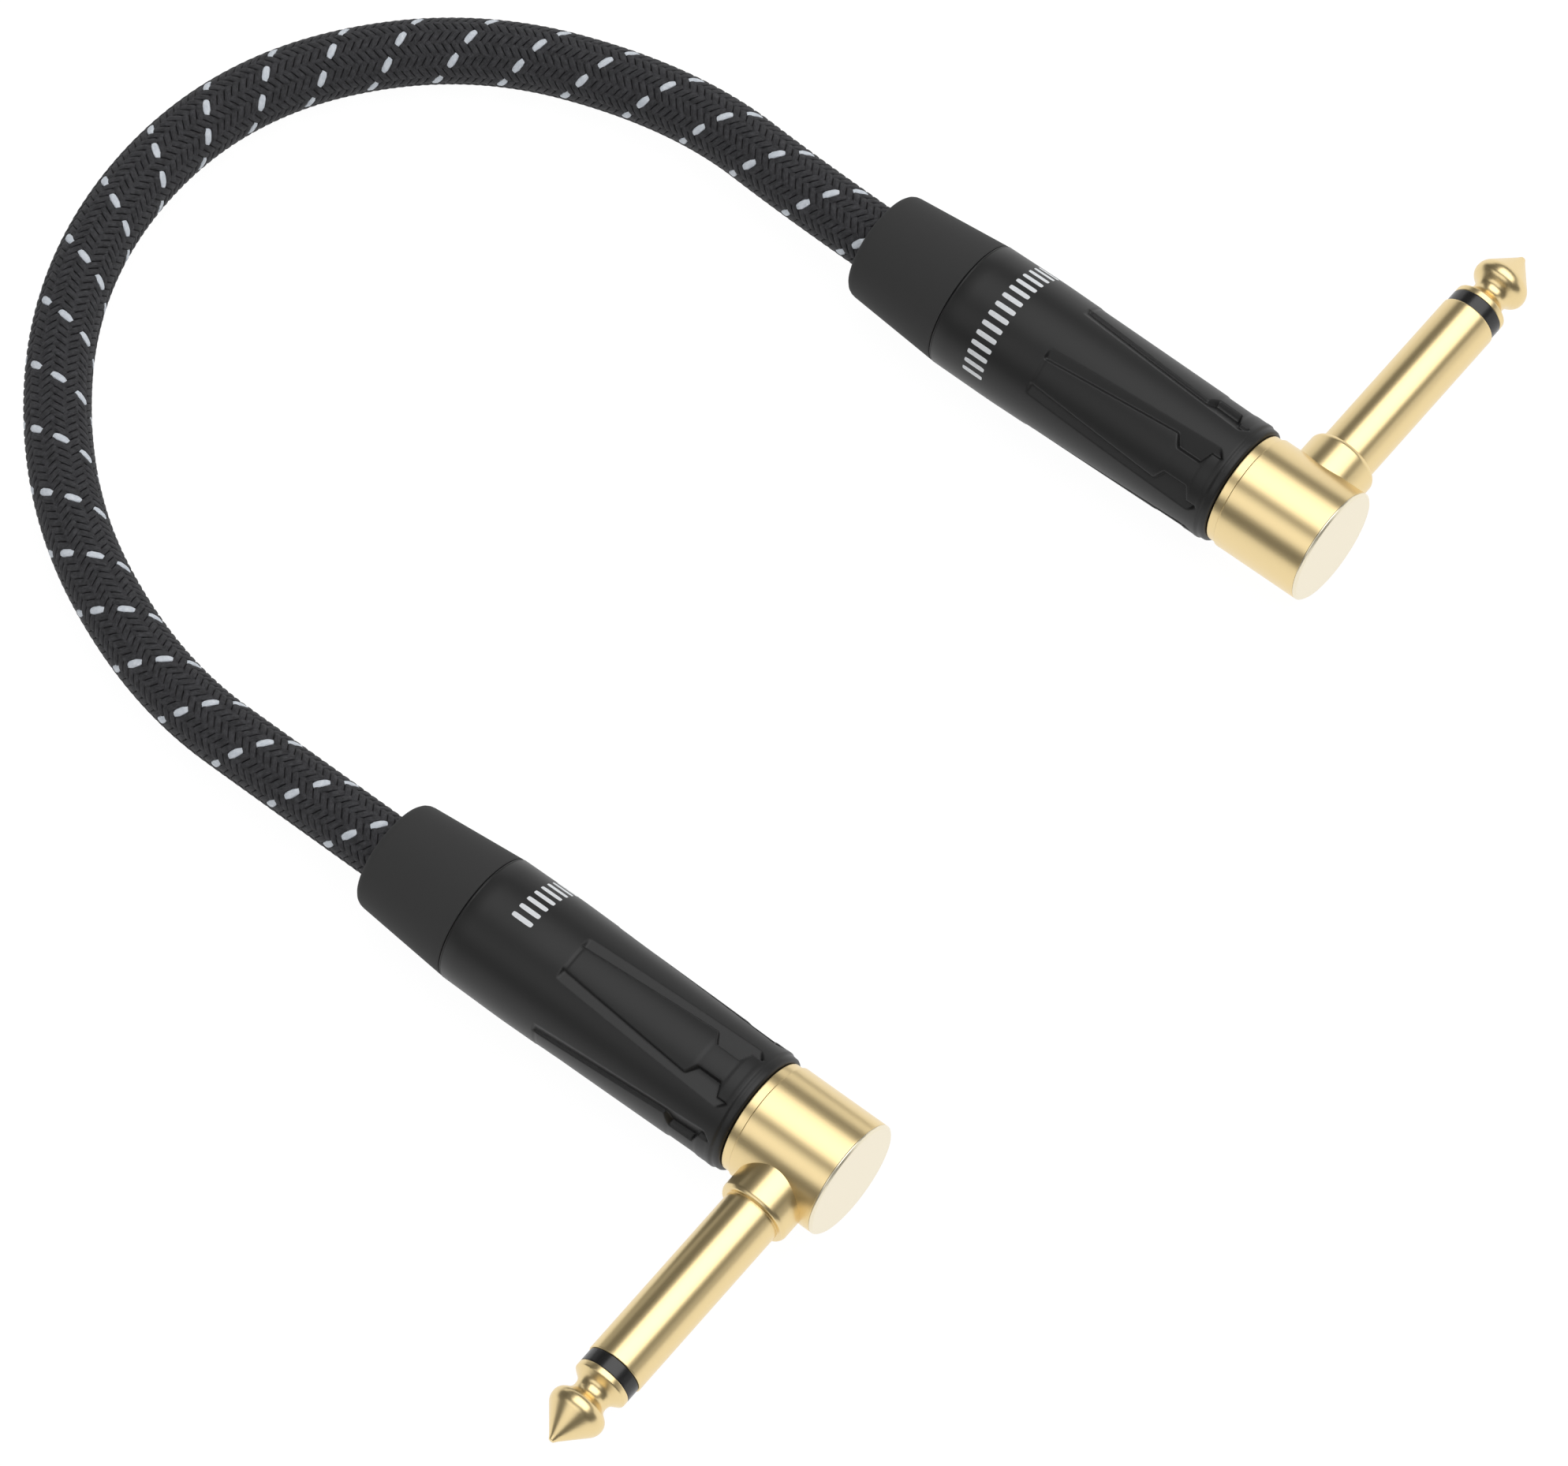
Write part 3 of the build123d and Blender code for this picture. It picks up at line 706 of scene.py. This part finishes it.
@dataclass
class Shell:
    """The lacquered barrel with its grip recesses and its band of printed bars."""

    turn: float
    bars: tuple[float, float]
    front: float = -6.15
    front_r: float = 6.83
    widest_at: float = -34.0
    widest_r: float = 7.2
    back: float = -41.4
    back_r: float = 7.12
    rim: float = 0.45
    thread_r: float = 4.67
    recess_count: int = 4
    recess_back: float = -29.3
    recess_front: float = -7.7
    recess_half: tuple[float, float] = (22.3, 33.5)
    pad_half: tuple[float, float] = (12.4, 23.7)
    pad_front: float = -12.7
    pad_neck_half: float = 12.8
    rim_pad_back: float = -9.1
    rim_pad_half: float = 25.1
    pad_drop: float = 0.03
    neck_drop: float = 0.07
    pad_crown: float = 0.03
    groove: float = 0.08
    bar_at: float = -35.8
    bar_pitch: float = 9.5
    bar_width: float = 4.4
    bar_half_length: float = 1.25
    bar_squareness: float = 0.35
    bar_proud: float = 0.007
    bar_sunk: float = 0.05
    columns: int = 400
    row_step: float = 0.125

    def cone(self, x: np.ndarray) -> np.ndarray:
        """Outer radius of the plain cone at x."""
        places = [self.back, self.widest_at, self.front]
        return np.interp(x, places, [self.back_r, self.widest_r, self.front_r])

    def recess_depth(self, x: np.ndarray, off: np.ndarray) -> np.ndarray:
        """How far one grip recess lies under the cone.

        The recess is a flat plane that deepens towards the head: its distance from the axis over the
        cosine of the angle off its middle. A pad rises out of it nearly to the cone, with a narrower
        neck and a wide foot at the rim, and a shallow groove crosses it at each end and at the foot.
        Soft steps, 3s^2 - 2s^3, round every edge.

        Args:
            x: places along the body axis, in millimetres.
            off: angles off the recess's middle, in degrees.

        Returns:
            The depth in millimetres.
        """
        ends = [self.recess_back, self.recess_front]
        half = np.interp(x, ends, self.recess_half)
        plane = np.interp(
            x, ends, [self.cone(e) * np.cos(np.radians(h)) for e, h in zip(ends, self.recess_half)]
        )
        near = np.abs(off) < 60
        flat = plane / np.cos(np.radians(np.where(near, off, 0)))
        inside = soft_step(x, self.recess_back, 0.3) * soft_step(-x, -self.recess_front, 0.35)
        corner = np.clip((x - self.recess_front + 0.9) / 0.9, 0, 1) * (half - self.rim_pad_half)
        inside = inside * soft_step(half - corner + 0.8 - np.abs(off), 0, 1.6)
        depth = np.clip(self.cone(x) - flat, 0, None) * inside * near
        pad_half = np.interp(
            x,
            [self.recess_back, self.pad_front - 0.35, self.pad_front + 0.45, self.rim_pad_back - 0.4,
             self.rim_pad_back + 0.25, self.front],
            [*self.pad_half, self.pad_neck_half, self.pad_neck_half, self.rim_pad_half, self.rim_pad_half],
        )
        drop = np.interp(
            x,
            [self.recess_back - 0.1, self.recess_back + 0.12, self.recess_back + 0.45,
             self.pad_front - 0.1, self.pad_front + 0.25, self.pad_front + 0.65,
             self.rim_pad_back - 0.5, self.rim_pad_back - 0.15, self.rim_pad_back + 0.2],
            [0.0, self.groove, self.pad_drop,
             self.pad_drop, self.groove, self.neck_drop,
             self.neck_drop, self.groove, self.pad_drop],
        )
        pad = soft_step(pad_half - np.abs(off), 0, 2.6)
        crown = drop + self.pad_crown * (off / pad_half) ** 4
        raised = np.minimum(crown, np.maximum(depth, drop)) * pad * inside
        return np.where(pad > 0, depth * (1 - pad) + raised, depth)

    def radius(self, x: np.ndarray, angle: np.ndarray) -> np.ndarray:
        """Outer radius of the shell: the cone less every recess, with the front edge bevelled."""
        depth = np.zeros(np.broadcast(x, angle).shape)
        for index in range(self.recess_count):
            middle = self.turn + index * 360 / self.recess_count
            off = (np.degrees(angle) - middle + 180) % 360 - 180
            depth = np.maximum(depth, self.recess_depth(x, off))
        bevel = 0.16 * soft_step(x, self.front - 0.95, 0.12)
        return self.cone(x) - depth - bevel

    def build(self, place: PlugPlace) -> bpy.types.Object:
        """Lay the outer surface out over x and angle, and close it round the rims and the bore."""
        body = f"shell_{place.letter}"
        x = np.arange(self.back + 0.3, self.front - self.rim, self.row_step)
        plain = (x < self.recess_back - 1.2) & (np.arange(len(x)) % 12 != 0)
        x = x[~plain][:, None]
        angle = np.linspace(0, 2 * np.pi, self.columns, endpoint=False)[None]
        outer = self.radius(x, angle)
        t = np.linspace(0, 1, 5)[1:, None]
        front_x = self.front - self.rim * (1 - t) ** 2
        front_edge = outer[-1:] - self.rim * t**2
        back_x = self.back + 0.18 * t[::-1] ** 2
        back_edge = outer[:1] - 0.18 * (1 - t[::-1]) ** 2
        along = [back_x, x, front_x]
        out = [back_edge, outer, front_edge]
        bore = [
            (self.front, self.thread_r + 0.2), (self.front - 0.2, self.thread_r), (-13.35, self.thread_r),
            (-13.35, 4.9), (-31.0, 4.9), (-38.0, 4.3), (-38.0, 5.07),
            (self.back + 0.1, 5.07), (self.back, 5.17),
        ]
        for bore_x, bore_r in bore:
            along.append(np.array([[bore_x]]))
            out.append(np.full((1, self.columns), bore_r))
        grid = place.about_body(np.concatenate(along), np.concatenate(out), angle)
        piece = surface_object(f"{place.node('shell')}_surface", grid, grid_uv(grid), True)
        piece.data.materials.append(LACQUER.material())
        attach(piece, body)
        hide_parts(place.node("shell"))
        LOG.info("made %s", piece.name)
        self.print_bars(place, body)
        return piece

    def print_bars(self, place: PlugPlace, body: str) -> None:
        """Print a band of plain upright bars behind the grips: thin pads a hair above the lacquer."""
        proud, sunk = self.bar_proud, -self.bar_sunk
        steps = ((0.02, sunk), (1.0, sunk), (1.0, proud - 0.003), (0.97, proud), (0.5, proud))
        corner = np.linspace(0, 2 * np.pi, 40, endpoint=False)
        across = np.sign(np.cos(corner)) * np.abs(np.cos(corner)) ** self.bar_squareness
        length = np.sign(np.sin(corner)) * np.abs(np.sin(corner)) ** self.bar_squareness
        x = self.bar_at + self.bar_half_length * length
        surface = self.cone(x)
        grids = []
        for middle in np.arange(self.bars[0], self.bars[1], self.bar_pitch):
            angle = np.radians(middle + self.bar_width / 2 * across)
            centre = np.radians(middle)
            rows = [
                place.about_body(
                    self.bar_at + (x - self.bar_at) * share, surface + lift, centre + (angle - centre) * share
                )
                for share, lift in steps
            ]
            grids.append(np.stack(rows))
        piece = joined_surfaces(f"{place.node('shell')}_bars", grids, [grid_uv(g) for g in grids], False)
        piece.data.materials.append(PRINT_INK.material())
        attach(piece, body)
        LOG.info("made %s", piece.name)


def soft_step(value: np.ndarray, limit: float, width: float) -> np.ndarray:
    """A step 3s^2 - 2s^3 from 0 to 1, centred on the limit and of the given width."""
    s = np.clip((value - limit) / width + 0.5, 0, 1)
    return s * s * (3 - 2 * s)


@dataclass
class Plug:
    """One right-angle plug, made of its visible pieces and the dressed CAD nodes inside it."""

    place: PlugPlace
    shell: Shell
    pin: Pin = field(default_factory=Pin)
    head: Head = field(default_factory=Head)
    boot: Boot = field(default_factory=Boot)

    def build(self) -> None:
        """Make the visible pieces, then dress the inner CAD nodes."""
        for piece in (self.pin.sleeve(), self.pin.ring(), self.pin.tip(), self.head.elbow(), self.head.cap()):
            piece.build(self.place, "root")
        self.boot.tail().build(self.place, f"boot_{self.place.letter}")
        self.shell.build(self.place)
        self.dress_inside()

    def dress_inside(self) -> None:
        """Give each CAD node that stays its own finish."""
        finishes = {
            "rod_insulator": CLEAR_PLASTIC,
            "inner_insulator": CLEAR_PLASTIC,
            "tip_terminal": TERMINAL_BRASS,
            "ground_terminal": TERMINAL_BRASS,
            "solder_joints": SOLDER,
            "chuck": CHUCK_PLASTIC,
        }
        for name, finish in finishes.items():
            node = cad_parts[self.place.node(name)]
            node.data.materials.clear()
            node.data.materials.append(finish.material())


# ------------------------------------------------------------------ the cable


@dataclass
class Cable:
    """The braided cable: a core tube and thirty-two carriers of yarn, two of them pale tracers."""

    route: tuple[tuple[float, float, float], ...] = (
        (-0.0170, -0.0435, 0.0072),
        (-0.0380, -0.0435, 0.0072),
        (-0.0590, -0.0425, 0.00485),
        (-0.0820, -0.0315, 0.0036),
        (-0.0985, -0.0100, 0.0036),
        (-0.1000, 0.0165, 0.0036),
        (-0.0850, 0.0375, 0.0036),
        (-0.0610, 0.0460, 0.00485),
        (-0.0400, 0.0435, 0.0072),
        (-0.0230, 0.0435, 0.0072),
    )
    diameter: float = 0.0071
    core_r: float = 0.00331
    lay: float = 0.0150
    carriers: int = 16
    tracer_carriers: tuple[int, ...] = (0, 8)
    steps_per_float: int = 10
    yarn_mid_r: float = 0.00341
    yarn_swing: float = 0.00007
    yarn_half_width: float = 0.00043
    yarn_half_height: float = 0.00007
    tracer_half_width: float = 0.00048
    yarn_tuck: float = 0.12
    tracer_tuck: float = 0.5
    dwell: float = 1.7
    core_uv: tuple[float, float] = (22.0, 206.0)

    def line(self) -> np.ndarray:
        """Points along the smooth route, read from its NURBS spline."""
        curve = bpy.data.curves.new("cable_route", "CURVE")
        curve.dimensions = "3D"
        spline = curve.splines.new("NURBS")
        spline.points.add(len(self.route) - 1)
        spline.points.foreach_set("co", np.c_[np.array(self.route), np.ones(len(self.route))].ravel())
        spline.order_u = 3
        spline.use_endpoint_u = True
        spline.resolution_u = 48
        holder = bpy.data.objects.new("cable_route", curve)
        mesh = bpy.data.meshes.new_from_object(holder)
        points = np.empty(len(mesh.vertices) * 3, dtype=np.float32)
        mesh.vertices.foreach_get("co", points)
        bpy.data.objects.remove(holder)
        bpy.data.meshes.remove(mesh)
        bpy.data.curves.remove(curve)
        return points.reshape(-1, 3).astype(float)

    def frames(self, path: np.ndarray, at: np.ndarray) -> tuple[np.ndarray, np.ndarray, np.ndarray]:
        """Centre, level side and upright side of the route at given lengths along it.

        Args:
            path: the route's points.
            at: lengths along the route, in metres.

        Returns:
            Three arrays: centres, unit vectors across in the level plane, unit vectors upwards.
        """
        lengths = np.concatenate([[0], np.cumsum(np.linalg.norm(np.diff(path, axis=0), axis=1))])
        tangents = np.gradient(path, lengths, axis=0)
        centre = np.stack([np.interp(at, lengths, path[:, k]) for k in range(3)], -1)
        tangent = np.stack([np.interp(at, lengths, tangents[:, k]) for k in range(3)], -1)
        tangent /= np.linalg.norm(tangent, axis=-1, keepdims=True)
        across = np.cross([0, 0, 1.0], tangent)
        across /= np.linalg.norm(across, axis=-1, keepdims=True)
        return centre, across, np.cross(tangent, across)

    def build(self) -> None:
        """Make the core tube first, then the yarns that lie on it."""
        path = self.line()
        length = float(np.linalg.norm(np.diff(path, axis=0), axis=1).sum())
        core = self.build_core(path, length)
        kinds = (
            ("cable_yarns_left", -1, self.black_carriers(), BLACK_YARN, "braid_black"),
            ("cable_yarns_right", 1, range(self.carriers), BLACK_YARN, "braid_black"),
            ("cable_tracers", -1, self.tracer_carriers, TRACER_YARN, "tracer_white"),
        )
        yarns = [self.build_yarns(name, path, length, *kind) for name, *kind in kinds]
        LOG.info("cable is %.1f mm long between the chucks", length / MM)

    def black_carriers(self) -> list[int]:
        """The left-hand carriers that aren't tracers."""
        return [carrier for carrier in range(self.carriers) if carrier not in self.tracer_carriers]

    def build_core(self, path: np.ndarray, length: float) -> bpy.types.Object:
        """The dark tube under the yarns: a circle carried along the route."""
        at = np.linspace(0, length, 420)[:, None]
        angle = np.linspace(0, 2 * np.pi, 48, endpoint=False)[None]
        centre, across, up = self.frames(path, at[:, 0])
        ring = across[:, None] * np.cos(angle)[..., None] + up[:, None] * np.sin(angle)[..., None]
        grid = centre[:, None] + self.core_r * ring
        piece = surface_object("cable_core", grid, grid_uv(grid) * self.core_uv, False)
        piece.data.materials.append(CORE_CLOTH.material())
        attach(piece, "root")
        layers = ("braid", "jacket", "shield", "dielectric", "conductor")
        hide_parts(*(f"cable_{layer}" for layer in layers))
        LOG.info("made %s", piece.name)
        return piece

    def build_yarns(
        self,
        name: str,
        path: np.ndarray,
        length: float,
        hand: int,
        carriers: Sequence[int],
        finish: Finish,
        slot: str,
    ) -> bpy.types.Object:
        """Wind flat yarns round the core in one direction.

        A carrier's angle is its number's share of a turn plus hand times a full turn for each lay.
        It meets the other direction's carriers 32 times in a turn, over two and under two, so its
        distance from the centre swings between over and under once for every four of them. Its
        section is a low arch, with the yarn's width laid across its own direction and drawn in where it
        goes under.

        Args:
            name: the piece's name.
            path: the route's points.
            length: the route's length.
            hand: 1 for a right-hand helix and -1 for a left-hand one.
            carriers: the numbers of the carriers.
            finish: their finish.
            slot: a material slot name, read only to tell the tracers, which are wider and drawn in more, from
                the black yarns.

        Returns:
            The piece.
        """
        floats = 2 * self.carriers / 4
        rows = int(length / self.lay * floats * self.steps_per_float)
        tracer = slot == "tracer_white"
        half_width = self.tracer_half_width if tracer else self.yarn_half_width
        tuck = self.tracer_tuck if tracer else self.yarn_tuck
        at = np.linspace(0.0004, length - 0.0004, rows)
        centre, across, up = self.frames(path, at)
        section_across = np.array([-0.9, -0.62, 0.0, 0.62, 0.9, 0.0])
        section_up = np.array([-0.9, 0.55, 1.0, 0.55, -0.9, -1.0])
        round_way = np.cos(np.arctan2(2 * np.pi * self.yarn_mid_r, self.lay))
        along_way = np.sin(np.arctan2(2 * np.pi * self.yarn_mid_r, self.lay))
        grids, uvs = [], []
        for carrier in carriers:
            crossing = 2 * carrier + hand * 2 * self.carriers * at / self.lay
            wave = np.sin(2 * np.pi * (crossing - 0.5 + 1) / 4) * -hand
            level = np.clip(self.dwell * wave, -1, 1)
            lift = self.yarn_swing * level
            width = half_width * (1 - tuck * (1 - level) / 2)
            turn = 2 * np.pi * (carrier / self.carriers + hand * at / self.lay)
            shift = section_across[None] * width[:, None]
            angle = turn[:, None] + shift * round_way / self.yarn_mid_r
            slide = -hand * shift * along_way
            out = self.yarn_mid_r + lift[:, None] + section_up[None] * self.yarn_half_height
            here, side, top = self.frames(path, (at[:, None] + slide).ravel())
            shape = (*angle.shape, 3)
            grid = here.reshape(shape) + out[..., None] * (
                side.reshape(shape) * np.cos(angle)[..., None] + top.reshape(shape) * np.sin(angle)[..., None]
            )
            grids.append(grid)
            u = np.linspace(0, length / MM / along_way / 0.56, rows + 1)[:, None] + carrier * 37.0
            v = np.linspace(0, 1.6, len(section_across) + 1)[None] + carrier * 5.0
            uvs.append(np.stack(np.broadcast_arrays(u, v), -1))
        piece = joined_surfaces(name, grids, uvs, False)
        piece.data.materials.append(finish.material())
        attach(piece, "root")
        LOG.info("made %s", piece.name)
        return piece


# ------------------------------------------------------------------ the studio


@dataclass
class Studio:
    """Camera, floor and soft light."""

    azimuth: float = 38.57
    elevation: float = 60.98
    distance: float = 0.9266
    lens: float = 210.9
    aim: tuple[float, float, float] = (-0.0041, -0.0083, 0.0072)
    floor_half: float = 3.0
    overhead_strength: float = 2.3
    side_strength: float = 1.3
    wall_strength: float = 0.95
    room_strength: float = 0.05

    def add_camera(self) -> None:
        """Stand a long lens above the front right corner, with plain tone mapping."""
        bpy.context.scene.view_settings.view_transform = "Standard"
        data = bpy.data.cameras.new("camera")
        data.lens = self.lens
        data.sensor_width = 36
        data.clip_end = 20
        camera = bpy.data.objects.new("camera", data)
        turn, rise = np.radians(self.azimuth), np.radians(self.elevation)
        back = np.array([np.cos(rise) * np.sin(turn), -np.cos(rise) * np.cos(turn), np.sin(rise)])
        camera.location = np.array(self.aim) + back * self.distance
        camera.rotation_euler = (np.pi / 2 - rise, 0, turn)
        bpy.context.scene.collection.objects.link(camera)
        bpy.context.scene.camera = camera

    def add_floor(self) -> None:
        """A plain pale floor at the height that the plugs lie on."""
        low = float(CAD_BOX[0][2]) - 0.00005
        half = self.floor_half
        mesh = bpy.data.meshes.new("floor")
        corners = [(-half, -half, low), (half, -half, low), (half, half, low), (-half, half, low)]
        mesh.from_pydata(corners, [], [(0, 1, 2, 3)])
        floor = bpy.data.objects.new("floor", mesh)
        material = bpy.data.materials.new("floor_white")
        material.use_nodes = True
        Graph(material.node_tree).surface(
            Base_Color=(0.05, 0.05, 0.05),
            Roughness=0.9,
            Emission_Color=(1.0, 1.0, 1.0),
            Emission_Strength=0.97,
        )
        mesh.materials.append(material)
        bpy.context.scene.collection.objects.link(floor)

    def add_light(self) -> None:
        """A white room with a large overhead softbox and a smaller one at the side."""
        world = bpy.data.worlds.new("studio")
        world.use_nodes = True
        bpy.context.scene.world = world
        graph = Graph(world.node_tree)
        direction = graph.node("ShaderNodeTexCoord", {}, {}, "Generated")
        parts = [graph.node("ShaderNodeSeparateXYZ", {}, {"Vector": direction}, k) for k in range(3)]
        x, y, z = parts
        over_x, over_y = x / z, y / z
        up = z.above(0.3, 0.06)
        overhead = over_x.between(-0.43, 0.93, 0.08) * over_y.between(-0.28, 0.85, 0.08) * up
        side = over_x.between(-1.1, 0.5, 0.1) * over_y.between(-2.1, -0.66, 0.12) * up
        low_wall = y.above(0.35, 0.2) * z.between(-0.5, 0.36, 0.06)
        strength = overhead * self.overhead_strength + side * self.side_strength
        strength = strength + low_wall * self.wall_strength + self.room_strength
        background = graph.node("ShaderNodeBackground", {}, {"Color": (1, 1, 1, 1), "Strength": strength})
        output = graph.tree.nodes.new("ShaderNodeOutputWorld")
        graph.tree.links.new(background.socket, output.inputs["Surface"])


def main() -> None:
    """Build the studio, the cable and the two plugs, and report each piece."""
    logging.basicConfig(level=logging.INFO, format="%(name)s: %(message)s")
    studio = Studio()
    studio.add_camera()
    Cable().build()
    plugs = (
        Plug(PlugPlace(PlugSide.A), Shell(turn=-4.5, bars=(-4.0, 150.0))),
        Plug(PlugPlace(PlugSide.B), Shell(turn=-42.0, bars=(-80.0, 75.0))),
    )
    for plug in plugs:
        plug.build()
    studio.add_floor()
    studio.add_light()


if __name__ == "__main__":
    main()
